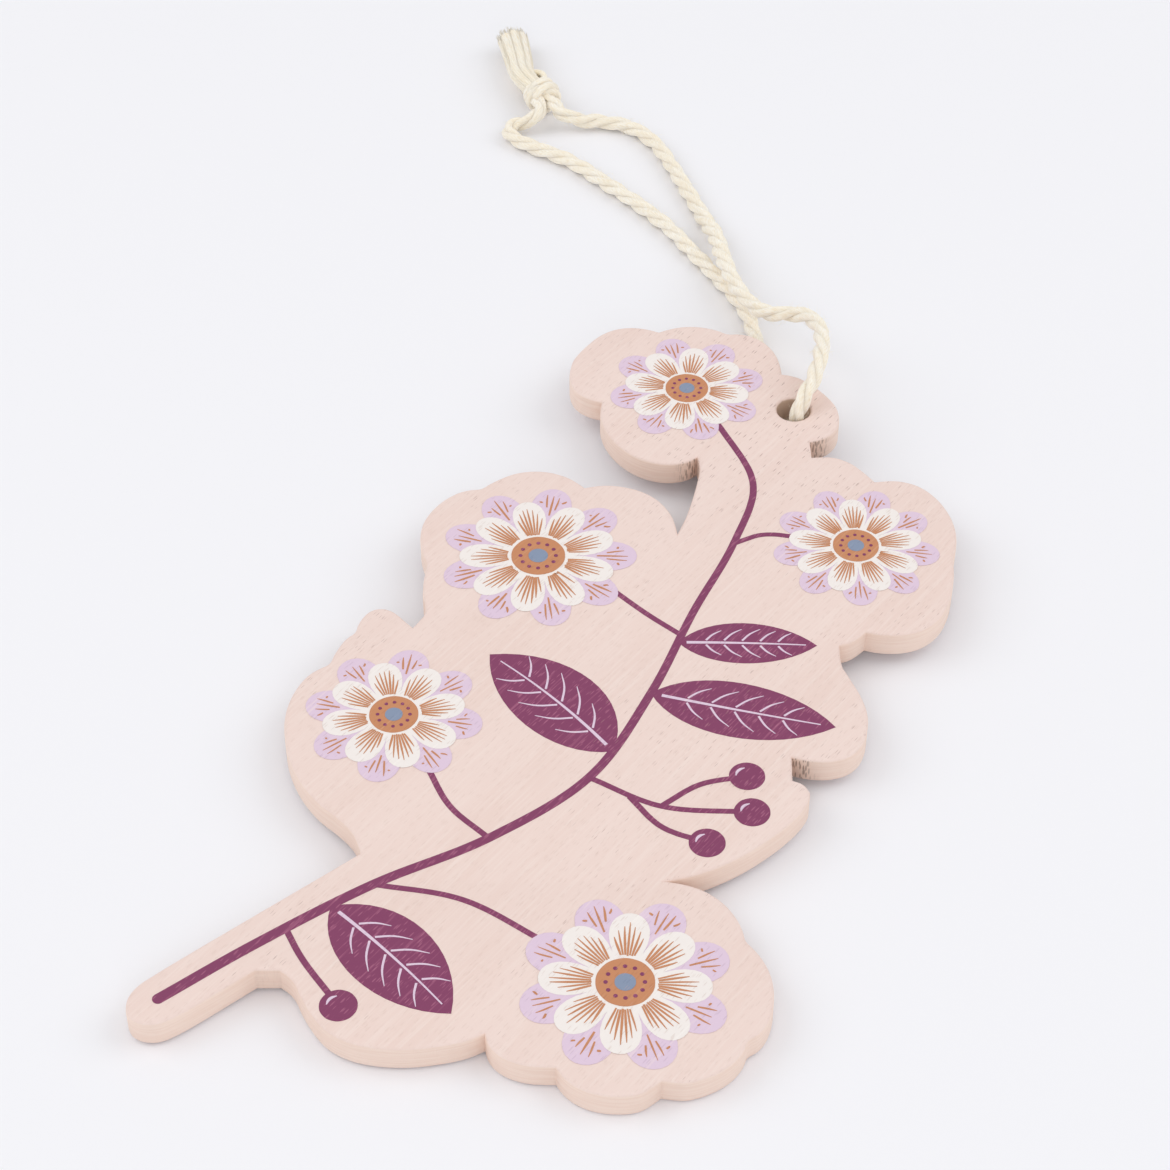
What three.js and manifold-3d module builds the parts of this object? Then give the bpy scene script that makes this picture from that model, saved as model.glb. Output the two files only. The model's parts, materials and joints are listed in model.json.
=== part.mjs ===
// A flat wooden tag in the shape of a flowering sprig, printed with a daisy
// spray, on a loop of twisted cotton cord. It lies on its back with the cord
// drawn out behind it, so the cord under the far end tips the board a little.
// Millimetres, +Z up, floor at z = 0, origin under the middle of the board.

import * as THREE from "three";
import { mergeVertices } from "three/addons/utils/BufferGeometryUtils.js";
import Module from "manifold-3d";

// Board
const BOARD_LENGTH = 137.9; // along y, from the foot of the sprig to its head
const BOARD_WIDTH = 105.6; // along x, from the end of the stalk to the right shoulder
const BOARD_THICKNESS = 4;
const EDGE_EASE = 0.5; // rounding worn on every edge of the board, the hole's rim too
const HOLE_DIAMETER = 4.8;
const HOLE_SEGMENTS = 24;
const OUTLINE_STEP = 1.5; // longest straight step along a round stretch of the outline
const CORD_DIAMETER = 2.6;
const CORD_CLEARANCE = 0.3; // between the cord and what it passes or meets

// Printed ink, laid down colour by colour on the front face
const INK_THICKNESS = 0.06;
const INK_GAP = 0.02; // keeps each coat just clear of what it lies on
const FILM_SEGMENTS = 7; // straight steps in each curve of a printed edge
const STEM_WIDTH = 1.5; // at the foot
const STEM_TIP_WIDTH = 0.9;
const TWIG_WIDTH = 0.8;
const BERRY_RADIUS = 2.3;
const CENTRE_SHARE = 0.27; // ochre centre, as a share of its daisy's radius
const EYE_SHARE = 0.36; // blue eye, as a share of the ochre centre

// The loop's knot and its frayed ends
const KNOT_WRAP_PITCH = 2.6;
const KNOT_WRAPS = 2;
const BRUSH_LENGTH = 16.2;
const BRUSH_ROOT_RADIUS = 1.9;
const BRUSH_TIP_RADIUS = 2.5;

const cordRadius = CORD_DIAMETER / 2;

// Materials, in the colours of the real thing
function matte(color, roughness) {
  return new THREE.MeshStandardMaterial({ color, roughness, metalness: 0 });
}
const beech = matte(0xeed7cd, 0.72);
const cotton = matte(0xf0e6d0, 0.95);
const plumInk = matte(0x85386a, 0.7);
const lilacInk = matte(0xe2cde2, 0.7);
const whiteInk = matte(0xf7f2f0, 0.7);
const ochreInk = matte(0xc88456, 0.7);
const blueInk = matte(0x6b96ba, 0.7);

// Drawing of the front face. Its places are scaled to the board's length and width.
const HOLE_CENTRE = [30.1, 35.9];

// Outline of the board. Each stretch starts at a corner, where two lobes meet,
// and runs on one smooth curve through its points to the next stretch's corner.
const OUTLINE = [
  // Ear round the hole
  [[32.1, 28.9], [34.4, 29.8], [36.1, 31.8], [36.6, 34.4], [36.2, 36.9], [34.9, 39.2], [33.1, 41.4], [31.0, 43.1]],
  // Head, four lobes
  [[28.8, 43.8], [28.6, 46.2], [27.9, 48.7], [26.7, 50.7], [24.9, 52.2], [23.1, 52.8]],
  [[21.2, 52.9], [19.0, 54.0], [16.2, 54.6], [13.4, 54.3]],
  [[11.0, 53.3], [8.8, 54.1], [6.2, 54.3], [3.8, 53.6], [1.8, 52.1]],
  [[-0.2, 49.6], [-1.6, 47.2], [-2.2, 44.4], [-2.1, 41.8], [-1.2, 39.7], [0.6, 38.2]],
  [[2.4, 37.5], [2.2, 34.6], [2.9, 31.5], [4.7, 28.2], [7.6, 25.5], [11.2, 24.2], [14.2, 24.6]],
  // Left side of the neck, down into the slot
  [[15.9, 25.7], [16.2, 23.4], [15.7, 20.3], [14.8, 16.4], [13.9, 13.2]],
  // Left shoulder, four lobes
  [[12.8, 10.3], [12.2, 13.4], [10.6, 16.5], [8.2, 18.6], [5.4, 19.7], [2.6, 20.0]],
  [[0.0, 19.5], [-2.1, 21.4], [-4.7, 22.6], [-7.3, 22.9], [-9.9, 22.4], [-12.4, 21.0]],
  [[-14.6, 19.3], [-17.0, 18.8], [-19.3, 17.3], [-21.2, 15.0], [-22.4, 12.3], [-22.7, 9.6], [-22.4, 6.9]],
  [[-21.6, 4.2], [-21.9, 1.2], [-21.9, -2.0], [-21.5, -5.0]],
  // Left leaf
  [[-23.0, -7.8], [-24.3, -6.4], [-25.7, -4.9], [-27.3, -4.3], [-29.0, -4.9], [-30.1, -6.6]],
  [[-30.7, -8.7], [-32.0, -10.2], [-33.0, -12.3]],
  [[-33.8, -14.5], [-36.4, -16.6], [-38.1, -19.8], [-38.9, -23.6], [-38.7, -27.4], [-37.9, -31.2],
    [-36.2, -35.2], [-33.7, -38.8], [-31.0, -41.4], [-29.0, -43.9]],
  // Far edge of the stalk, its end and its near edge
  [[-27.9, -46.9]],
  [[-52.6, -66.6], [-54.0, -68.3], [-54.4, -70.2], [-53.9, -72.0], [-52.4, -73.0], [-50.3, -73.0], [-48.2, -71.9]],
  [[-39.5, -65.1]],
  // Lower leaf
  [[-36.6, -65.1], [-35.0, -66.6], [-33.8, -69.1], [-32.4, -71.6], [-30.4, -74.1], [-27.5, -75.8],
    [-24.0, -76.6], [-20.4, -76.7], [-16.8, -76.2], [-13.8, -75.4]],
  // Foot, five lobes
  [[-11.8, -74.4], [-11.1, -76.4], [-9.4, -78.0], [-6.7, -79.0]],
  [[-3.4, -79.2], [-2.1, -81.1], [0.4, -82.7], [3.5, -83.3], [6.5, -82.9]],
  [[8.9, -81.1], [11.7, -81.4], [14.6, -80.5], [17.0, -78.9], [18.5, -77.0]],
  [[19.2, -75.4], [20.9, -74.0], [22.1, -71.4], [22.5, -68.4], [22.2, -65.6], [21.1, -62.9]],
  [[19.5, -60.6], [18.8, -57.9], [17.2, -55.1], [14.9, -53.0], [12.5, -51.9]],
  // Right leaf
  [[10.3, -51.4], [13.4, -50.6], [16.4, -49.3], [19.6, -47.4], [22.6, -45.1], [25.4, -42.5],
    [27.5, -39.9], [28.5, -37.6], [28.2, -36.0]],
  // Right flank
  [[26.4, -34.9]],
  [[26.5, -31.1], [28.6, -31.7], [31.4, -31.8], [34.0, -30.9], [35.7, -28.9], [36.5, -26.2],
    [36.7, -23.3], [36.0, -20.1], [34.9, -17.3]],
  [[34.0, -15.0]],
  [[33.8, -11.2], [35.5, -10.6]],
  // Right shoulder, three lobes
  [[37.5, -8.8], [39.6, -9.3], [42.5, -9.3], [45.2, -8.4], [47.5, -6.3], [49.0, -3.4], [49.9, 0.0], [50.3, 2.8]],
  [[50.4, 5.2], [51.1, 8.0], [51.2, 11.4], [50.4, 14.8], [48.9, 17.7], [46.7, 19.9], [43.8, 20.9]],
  [[40.8, 20.7], [39.5, 22.5], [37.6, 24.6], [35.2, 25.8]],
  // Right side of the neck, up to the ear
  [[32.2, 25.8]],
];

// Daisies: centre, radius, number of petals, turn of the first petal in degrees
const DAISIES = [
  { name: "head", centre: [14.8, 40.4], radius: 11.4, petals: 8, turn: 12 },
  { name: "right_shoulder", centre: [37.2, 7.6], radius: 11.6, petals: 9, turn: 30 },
  { name: "left_shoulder", centre: [-6.4, 5.6], radius: 13.6, petals: 9, turn: 0 },
  { name: "left_side", centre: [-24.8, -23.8], radius: 11.8, petals: 8, turn: 35 },
  { name: "foot", centre: [4.8, -67.0], radius: 13.2, petals: 8, turn: 18 },
];

// Plum sprig: the main stem, the twigs that leave it, those that end in a berry, and the leaves
const STEM = [[-50.6, -69.4], [-40.0, -61.4], [-26.0, -52.0], [-12.0, -44.6], [0.5, -34.6], [8.6, -20.0],
  [14.6, -5.0], [20.4, 8.0], [23.6, 20.0], [20.0, 30.5]];
const TWIGS = [
  [[20.4, 8.0], [24.6, 9.8], [30.0, 9.2]],
  [[13.0, -9.6], [8.4, -5.6], [3.4, -0.6]],
  [[-12.0, -44.6], [-17.0, -39.4], [-20.2, -32.6]],
  [[-26.0, -52.0], [-15.0, -54.4], [-4.4, -61.2]],
];
const BERRY_TWIGS = [
  [[-36.4, -58.6], [-34.0, -63.4], [-29.2, -70.4]],
  [[0.5, -34.6], [9.6, -39.4], [21.0, -40.4]],
  [[5.6, -37.8], [9.6, -42.8], [15.2, -45.4]],
  [[9.6, -39.4], [14.6, -35.8], [20.6, -34.4]],
];
const LEAVES = [
  { base: [8.6, -20.0], tip: [32.4, -26.0], bulge: 4.8, lean: -0.2 },
  { base: [12.4, -10.8], tip: [30.8, -11.4], bulge: 3.7, lean: 0.2 },
  { base: [3.6, -30.2], tip: [-12.6, -13.0], bulge: 5.8, lean: -1.0 },
  { base: [-31.0, -55.4], tip: [-15.8, -71.6], bulge: 5.4, lean: 0.6 },
];

// Route of the cord, mid-line, point by point from where it leaves the hole to
// the knot: once over the board and once under it. The points and those of the
// knot count from the middle of the hole, with their height above the floor.
const CORD_BEND = [[1.5, 0.5, 8.8], [1, -0.3, 8], [0.7, -0.7, 7], [0.5, -0.8, 5.7], [0.3, -0.5, 4],
  [-0.1, 0.4, 2.5], [-0.4, 2, 1.55]];
const CORD_OVER = [[1.75, 0.95, 9.15], [2.4, 2.1, 9.6], [3.3, 4.5, 10.1], [4.1, 7.6, 10.3], [4.6, 11.5, 10],
  [4.3, 16.3, 9.2], [3.1, 19.4, 8.3], [1.5, 21.1, 7.5], [-1.3, 22.4, 6.5], [-3.5, 24.1, 5.7],
  [-5.5, 27.4, 5.2], [-7, 31.3, 4.8], [-8.1, 35.9, 4.4], [-9, 42, 3.5], [-9.7, 47.2, 2.6],
  [-11.3, 53.3, 1.5], [-13.7, 60.9, 1.3], [-16.1, 67.8, 1.3], [-18.7, 74, 1.3], [-22.5, 78.4, 1.3],
  [-27.3, 80, 1.4], [-30.3, 79.7, 1.8], [-32.4, 79.8, 2.4], [-33.9, 80.2, 2.9], [-34.7, 80.8, 3.2],
  [-34.9, 81.6, 3.3]];
const CORD_UNDER = [[-0.5, 2.5, 1.4], [-1.1, 5.2, 1.3], [-2.3, 10.6, 1.3], [-3.5, 16.8, 1.3],
  [-4.4, 23.2, 1.3], [-5.2, 28, 1.3], [-6.8, 32.8, 1.3], [-10.1, 39, 1.3], [-13.5, 45, 1.3],
  [-16.8, 50.8, 1.3], [-20.3, 55.6, 1.3], [-24.1, 60, 1.3], [-27.7, 63.9, 1.3], [-31.3, 67.8, 1.3],
  [-34.5, 70.4, 1.3], [-38.3, 72.7, 1.3], [-41.2, 74.9, 1.3], [-42.7, 77, 1.4], [-41.8, 78.6, 1.6],
  [-40.1, 78.9, 2], [-38.7, 79.2, 2.5], [-37.9, 79.8, 3.1], [-37.6, 80.5, 3.3]];

// Knot: middle of its near and far ends, and the tip of the frayed brush
const KNOT_NEAR = new THREE.Vector3(-36.5, 81.7, 3.3);
const KNOT_FAR = new THREE.Vector3(-38.9, 89.2, 3.3);
const BRUSH_END = new THREE.Vector3(-43, 105.2, 2.6);

const manifold = await Module();
manifold.setup();

// Solids for joining and cutting
function toSolid(geometry) {
  const bare = geometry.clone();
  bare.deleteAttribute("normal");
  bare.deleteAttribute("uv");
  const merged = mergeVertices(bare, 1e-4);
  return new manifold.Manifold(
    new manifold.Mesh({
      numProp: 3,
      vertProperties: new Float32Array(merged.attributes.position.array),
      triVerts: new Uint32Array(merged.index.array),
    }),
  );
}
function fromSolid(solid) {
  const mesh = solid.getMesh();
  const geometry = new THREE.BufferGeometry();
  geometry.setAttribute("position", new THREE.BufferAttribute(mesh.vertProperties, 3));
  geometry.setIndex(new THREE.BufferAttribute(mesh.triVerts, 1));
  geometry.computeVertexNormals();
  return geometry;
}
function join(geometries) {
  return fromSolid(geometries.map(toSolid).reduce((all, next) => all.add(next)));
}

// From the drawing to the board: a place, and a size that keeps its shape
const drawnAcross = OUTLINE.flat().map(([x]) => x);
const drawnAlong = OUTLINE.flat().map(([, y]) => y);
const scaleAcross = BOARD_WIDTH / (Math.max(...drawnAcross) - Math.min(...drawnAcross));
const scaleAlong = BOARD_LENGTH / (Math.max(...drawnAlong) - Math.min(...drawnAlong));
function place([x, y]) {
  return [x * scaleAcross, y * scaleAlong];
}
function size(drawn) {
  return drawn * Math.min(scaleAcross, scaleAlong);
}

// A smooth plane curve through the points, in steps no longer than the given one
function smoothStretch(points, step) {
  const curve = new THREE.CatmullRomCurve3(
    points.map(([x, y]) => new THREE.Vector3(x, y, 0)),
    false,
    "centripetal",
  );
  const steps = Math.max(1, Math.round(curve.getLength() / step));
  return curve.getSpacedPoints(steps).map((p) => new THREE.Vector2(p.x, p.y));
}

// Board: the outline with its eased edges, and the drilled hole
function boardShape() {
  const points = [];
  const stretches = OUTLINE.map((stretch) => stretch.map(place));
  stretches.forEach((stretch, i) => {
    const end = stretches[(i + 1) % stretches.length][0];
    if (stretch.length === 1) {
      points.push(new THREE.Vector2(...stretch[0]));
    } else {
      points.push(...smoothStretch([...stretch, end], OUTLINE_STEP).slice(0, -1));
    }
  });
  const shape = new THREE.Shape(points);
  const [holeX, holeY] = place(HOLE_CENTRE);
  const holeRadius = HOLE_DIAMETER / 2;
  const rim = [];
  for (let i = 0; i < HOLE_SEGMENTS; i++) {
    const angle = (-2 * Math.PI * i) / HOLE_SEGMENTS;
    rim.push(new THREE.Vector2(holeX + holeRadius * Math.cos(angle), holeY + holeRadius * Math.sin(angle)));
  }
  shape.holes.push(new THREE.Path(rim));
  return shape;
}
function boardGeometry() {
  const geometry = new THREE.ExtrudeGeometry(boardShape(), {
    depth: BOARD_THICKNESS - 2 * EDGE_EASE,
    bevelThickness: EDGE_EASE,
    bevelSize: EDGE_EASE,
    bevelOffset: -EDGE_EASE,
    bevelSegments: 2,
    steps: 1,
  });
  return geometry.translate(0, 0, EDGE_EASE);
}

// One coat of ink in a given shape; coat 0 lies on the wood, the next on it
function film(shape, coat) {
  const bottom = BOARD_THICKNESS + INK_GAP + coat * (INK_THICKNESS + INK_GAP);
  const geometry = new THREE.ExtrudeGeometry(shape, {
    depth: INK_THICKNESS,
    bevelEnabled: false,
    curveSegments: FILM_SEGMENTS,
  });
  return geometry.translate(0, 0, bottom);
}

// A ring of round petals, every petal one curve from notch to notch
function rosette(centre, radius, notchRadius, petals, turnDegrees) {
  const shape = new THREE.Shape();
  const half = Math.PI / petals;
  const turn = THREE.MathUtils.degToRad(turnDegrees);
  const at = (angle, r) => [centre[0] + r * Math.cos(angle), centre[1] + r * Math.sin(angle)];
  const reach = (radius - notchRadius / 4) / 0.75 / Math.cos(half);
  shape.moveTo(...at(turn - half, notchRadius));
  for (let i = 0; i < petals; i++) {
    const axis = turn + 2 * half * i;
    shape.bezierCurveTo(
      ...at(axis - half, reach),
      ...at(axis + half, reach),
      ...at(axis + half, notchRadius),
    );
  }
  return shape;
}
function disc(centre, radius) {
  return new THREE.Shape().absarc(centre[0], centre[1], radius, 0, 2 * Math.PI);
}

// A ribbon of ink along a curve, wide at its start and narrow at its end
function ribbon(points, startWidth, endWidth) {
  const curve = new THREE.CatmullRomCurve3(
    points.map((point) => new THREE.Vector3(...place(point), 0)),
    false,
    "centripetal",
  );
  const steps = 6 * (points.length - 1);
  const left = [];
  const right = [];
  for (let i = 0; i <= steps; i++) {
    const p = curve.getPoint(i / steps);
    const t = curve.getTangent(i / steps);
    const half = THREE.MathUtils.lerp(startWidth, endWidth, i / steps) / 2;
    left.push(new THREE.Vector2(p.x - t.y * half, p.y + t.x * half));
    right.push(new THREE.Vector2(p.x + t.y * half, p.y - t.x * half));
  }
  return new THREE.Shape([...right, ...left.reverse()]);
}

// A pointed leaf between its base and its tip; lean bows its midrib sideways
function leaf(drawn) {
  const base = place(drawn.base);
  const tip = place(drawn.tip);
  const bulge = size(drawn.bulge);
  const lean = size(drawn.lean);
  const along = new THREE.Vector2(tip[0] - base[0], tip[1] - base[1]);
  const across = new THREE.Vector2(-along.y, along.x).normalize();
  const side = (share, offset) => [
    base[0] + along.x * share + across.x * offset,
    base[1] + along.y * share + across.y * offset,
  ];
  const reach = bulge / 0.75;
  const shape = new THREE.Shape();
  shape.moveTo(...base);
  shape.bezierCurveTo(...side(0.2, lean - reach), ...side(0.72, lean - reach), ...tip);
  shape.bezierCurveTo(...side(0.72, lean + reach), ...side(0.2, lean + reach), ...base);
  return shape;
}

// A cord along its route: an eight-sided tube, closed at both ends
function tube(points, radius, steps) {
  const section = new THREE.Shape();
  const sides = 8;
  for (let i = 0; i < sides; i++) {
    const angle = (2 * Math.PI * i) / sides;
    const x = radius * Math.cos(angle);
    const y = radius * Math.sin(angle);
    if (i) {
      section.lineTo(x, y);
    } else {
      section.moveTo(x, y);
    }
  }
  const path = new THREE.CatmullRomCurve3(
    points.map((p) => new THREE.Vector3(...p)),
    false,
    "centripetal",
  );
  return new THREE.ExtrudeGeometry(section, { steps, extrudePath: path });
}

// Knot: the two strands side by side, and the cord wrapped round them
function knotGeometry() {
  const axis = new THREE.Vector3().subVectors(KNOT_FAR, KNOT_NEAR).normalize();
  const side = new THREE.Vector3().crossVectors(axis, new THREE.Vector3(0, 0, 1)).normalize();
  const up = new THREE.Vector3().crossVectors(side, axis);
  const length = KNOT_FAR.distanceTo(KNOT_NEAR);
  const open = cordRadius + CORD_CLEARANCE / 2; // where the strands come in side by side
  const tight = cordRadius * 0.6; // where the wraps squeeze them together
  const strand = (direction) =>
    [[0, open], [0.35, tight], [0.7, tight], [1, tight]].map(([share, offset]) =>
      KNOT_NEAR.clone()
        .addScaledVector(axis, length * share)
        .addScaledVector(side, direction * offset)
        .toArray(),
    );
  const wrapRadius = CORD_DIAMETER * 0.8;
  const wrap = [];
  const perTurn = 10;
  for (let i = 0; i <= perTurn * KNOT_WRAPS; i++) {
    const angle = (2 * Math.PI * i) / perTurn;
    const along = length / 2 + KNOT_WRAP_PITCH * (i / perTurn - KNOT_WRAPS / 2);
    wrap.push(
      KNOT_NEAR.clone()
        .addScaledVector(axis, along)
        .addScaledVector(side, wrapRadius * Math.sin(angle))
        .addScaledVector(up, -wrapRadius * Math.cos(angle))
        .toArray(),
    );
  }
  return join([
    tube(strand(1), cordRadius, 5),
    tube(strand(-1), cordRadius, 5),
    tube(wrap, cordRadius, perTurn * KNOT_WRAPS),
  ]);
}

// Frayed ends: one brush that opens out from the knot
function brushGeometry() {
  const profile = [
    [0, 0],
    [BRUSH_ROOT_RADIUS, 0],
    [BRUSH_ROOT_RADIUS, BRUSH_LENGTH * 0.25],
    [BRUSH_TIP_RADIUS, BRUSH_LENGTH * 0.75],
    [BRUSH_TIP_RADIUS * 0.8, BRUSH_LENGTH],
    [0, BRUSH_LENGTH],
  ].map(([r, h]) => new THREE.Vector2(r, h));
  return new THREE.LatheGeometry(profile, 12);
}

const tag = new THREE.Group();

// Everything that the board carries is drawn in the board's own plane
const board = new THREE.Group();
function addTo(group, name, geometry, material) {
  const mesh = new THREE.Mesh(geometry, material);
  mesh.name = name;
  group.add(mesh);
  return mesh;
}
const boardMesh = addTo(board, "tag_board", boardGeometry(), beech);

addTo(
  board,
  "print_plum_sprig",
  join([
    film(ribbon(STEM, STEM_WIDTH, STEM_TIP_WIDTH), 0),
    ...[...TWIGS, ...BERRY_TWIGS].map((points) => film(ribbon(points, TWIG_WIDTH, TWIG_WIDTH), 0)),
    ...LEAVES.map((each) => film(leaf(each), 0)),
    ...BERRY_TWIGS.map((points) => film(disc(place(points.at(-1)), BERRY_RADIUS), 0)),
  ]),
  plumInk,
);
for (const { name, petals, turn, ...drawn } of DAISIES) {
  const centre = place(drawn.centre);
  const radius = size(drawn.radius);
  const halfPetal = 180 / petals;
  const centreRadius = radius * CENTRE_SHARE;
  addTo(board, `print_${name}_lilac_petals`, film(rosette(centre, radius, radius * 0.45, petals, turn), 1), lilacInk);
  addTo(
    board,
    `print_${name}_white_petals`,
    film(rosette(centre, radius * 0.8, radius * 0.36, petals, turn + halfPetal), 2),
    whiteInk,
  );
  addTo(board, `print_${name}_ochre_centre`, film(disc(centre, centreRadius), 3), ochreInk);
  addTo(board, `print_${name}_blue_eye`, film(disc(centre, centreRadius * EYE_SHARE), 4), blueInk);
}

// The board rests on its near edge and on the cord under its far end, which
// needs the cord's diameter and its clearance under the hole
const box = new THREE.Box3().setFromObject(boardMesh);
const middle = box.getCenter(new THREE.Vector3());
const holeCentre = place(HOLE_CENTRE);
const cordDistance = holeCentre[1] + HOLE_DIAMETER / 2 - box.min.y;
const tilt = Math.asin((CORD_DIAMETER + CORD_CLEARANCE) / cordDistance);
board.rotation.x = tilt;
board.updateMatrixWorld(true);
box.setFromObject(boardMesh, true).getCenter(middle);
board.position.set(-middle.x, -middle.y, -box.min.z);
board.updateMatrixWorld(true);
tag.add(board);

// The cord goes where the hole is
const loop = new THREE.Group();
const hole = board.localToWorld(new THREE.Vector3(...holeCentre, BOARD_THICKNESS / 2));
loop.position.set(hole.x, hole.y, 0);
tag.add(loop);
addTo(loop, "cord_through_hole", tube(CORD_BEND, cordRadius, 12), cotton);
addTo(loop, "cord_over_strand", tube(CORD_OVER, cordRadius, 34), cotton);
addTo(loop, "cord_under_strand", tube(CORD_UNDER, cordRadius, 32), cotton);
addTo(loop, "cord_knot", knotGeometry(), cotton);
const brush = addTo(loop, "cord_frayed_ends", brushGeometry(), cotton);
const brushAxis = new THREE.Vector3().subVectors(BRUSH_END, KNOT_FAR).normalize();
brush.quaternion.setFromUnitVectors(new THREE.Vector3(0, 1, 0), brushAxis);
brush.position.copy(KNOT_FAR).addScaledVector(brushAxis, CORD_CLEARANCE);

export default tag;
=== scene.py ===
# %% [markdown]
# # A printed wooden tag on a loop of cotton cord
#
# The tag is a flat piece of pale beech, cut out along a flowering sprig and
# printed with a daisy spray. A three-ply cotton cord goes through the hole in
# its ear and is tied off with a knot. It lies on its back, photographed from
# above at 45 degrees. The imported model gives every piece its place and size,
# and this script gives each one its finished surface.

import json
import math
import random
from functools import partial

import bpy
from mathutils import Matrix, Vector


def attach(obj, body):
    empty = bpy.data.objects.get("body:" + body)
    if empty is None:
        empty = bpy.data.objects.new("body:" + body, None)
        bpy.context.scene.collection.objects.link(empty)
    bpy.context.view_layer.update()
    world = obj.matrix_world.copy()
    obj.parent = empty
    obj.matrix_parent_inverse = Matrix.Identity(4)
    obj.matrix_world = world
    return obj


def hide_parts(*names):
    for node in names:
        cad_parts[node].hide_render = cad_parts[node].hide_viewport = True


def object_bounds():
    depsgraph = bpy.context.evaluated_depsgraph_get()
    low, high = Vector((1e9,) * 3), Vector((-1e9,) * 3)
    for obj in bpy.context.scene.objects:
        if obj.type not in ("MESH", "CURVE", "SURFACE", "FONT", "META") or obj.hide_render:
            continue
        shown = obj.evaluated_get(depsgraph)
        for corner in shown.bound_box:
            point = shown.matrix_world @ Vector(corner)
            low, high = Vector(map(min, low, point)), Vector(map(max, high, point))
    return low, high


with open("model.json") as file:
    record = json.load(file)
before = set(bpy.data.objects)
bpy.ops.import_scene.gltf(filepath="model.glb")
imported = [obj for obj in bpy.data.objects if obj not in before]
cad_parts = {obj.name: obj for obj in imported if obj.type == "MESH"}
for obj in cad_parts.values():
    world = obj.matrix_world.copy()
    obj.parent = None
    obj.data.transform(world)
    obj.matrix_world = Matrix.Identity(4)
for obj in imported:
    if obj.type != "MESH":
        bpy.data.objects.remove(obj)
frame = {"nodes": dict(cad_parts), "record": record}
cad_box = [list(corner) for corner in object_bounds()]
print("packed model", [round(1000 * (b - a), 1) for a, b in zip(*cad_box)], "mm")

MM = 0.001


def rounded(values, places=2):
    return [round(1000 * v, places) for v in values]


# %% [markdown]
# ## The plane of the board
#
# The board doesn't lie quite level: the cord under its far end tips it. The
# back face's mount holds that tilt, so everything that belongs to the board is
# drawn flat, in the drawing's own millimetres, and then laid in its place by
# one matrix. The drawing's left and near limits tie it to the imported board.

# %% From the drawing to the tilted board
BOARD_THICKNESS = 4.0
EDGE_EASE = 0.5
DRAWN_LEFT = -54.4
DRAWN_NEAR = -83.3
HOLE_CENTRE = (30.1, 35.9)

back_face = frame["record"]["mounts"][0]
tilt = math.asin(back_face["axis"][1])
turn = Matrix.Rotation(tilt, 4, "X")
board_node = frame["nodes"]["tag_board"]
level = [turn.inverted() @ v.co for v in board_node.data.vertices]
drawing_corner = Vector((
    min(p.x for p in level) - DRAWN_LEFT * MM,
    min(p.y for p in level) - DRAWN_NEAR * MM,
    min(p.z for p in level),
))
TO_BOARD = turn @ Matrix.Translation(drawing_corner) @ Matrix.Scale(MM, 4)
hole = TO_BOARD @ Vector((*HOLE_CENTRE, BOARD_THICKNESS / 2))
print("tilt", round(math.degrees(tilt), 2), "degrees, hole at", rounded(hole))

# %% [markdown]
# ## Camera
#
# The photograph looks down on the tag at 45 degrees from 278 mm above it, with
# a lens that spans 22.8 degrees. Its place is given over the board's plane.

# %% Camera
CAMERA_HEIGHT = 278.0
CAMERA_PITCH = 45.0
FIELD_OF_VIEW = 22.8


def add_object(name, data):
    made = bpy.data.objects.new(name, data)
    bpy.context.scene.collection.objects.link(made)
    return made


camera_data = bpy.data.cameras.new("camera")
camera_data.sensor_width = 36.0
camera_data.lens = camera_data.sensor_width / 2 / math.tan(math.radians(FIELD_OF_VIEW / 2))
camera_data.clip_start = 0.01
camera_data.clip_end = 20.0
camera = add_object("camera", camera_data)
camera.matrix_world = (
    Matrix.Translation(TO_BOARD @ Vector((0, -CAMERA_HEIGHT, BOARD_THICKNESS + CAMERA_HEIGHT)))
    @ turn
    @ Matrix.Rotation(math.radians(CAMERA_PITCH), 4, "X")
)
bpy.context.scene.camera = camera
print("camera at", rounded(camera.location, 1), "lens", round(camera_data.lens, 1))

# %% [markdown]
# ## The cord's route
#
# One cord runs from the knot, along the floor, under the board and up through
# the hole, over in a soft arch, and back to the knot. Its points are those of
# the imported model, counted from the middle of the hole. A centripetal curve
# through them has no loops or overshoots, whatever the points' spacing.

# %% Route of the cord, millimetres from the hole
CORD_DIAMETER = 2.6
CORD_BEND = [
    (1.5, 0.5, 8.8), (1, -0.3, 8), (0.7, -0.7, 7), (0.5, -0.8, 5.7), (0.3, -0.5, 4), (-0.1, 0.4, 2.5),
    (-0.4, 2, 1.55),
]
CORD_OVER = [
    (1.75, 0.95, 9.15), (2.4, 2.1, 9.6), (3.3, 4.5, 10.1), (4.1, 7.6, 10.3), (4.6, 11.5, 10),
    (4.3, 16.3, 9.2), (3.1, 19.4, 8.3), (1.5, 21.1, 7.5), (-1.3, 22.4, 6.5), (-3.5, 24.1, 5.7),
    (-5.5, 27.4, 5.2), (-7, 31.3, 4.8), (-8.1, 35.9, 4.4), (-9, 42, 3.5), (-9.7, 47.2, 2.6),
    (-11.3, 53.3, 1.5), (-13.7, 60.9, 1.3), (-16.1, 67.8, 1.3), (-18.7, 74, 1.3), (-22.5, 78.4, 1.3),
    (-27.3, 80, 1.4), (-30.3, 79.7, 1.8), (-32.4, 79.8, 2.4), (-33.9, 80.2, 2.9), (-34.7, 80.8, 3.2),
    (-34.9, 81.6, 3.3),
]
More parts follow.
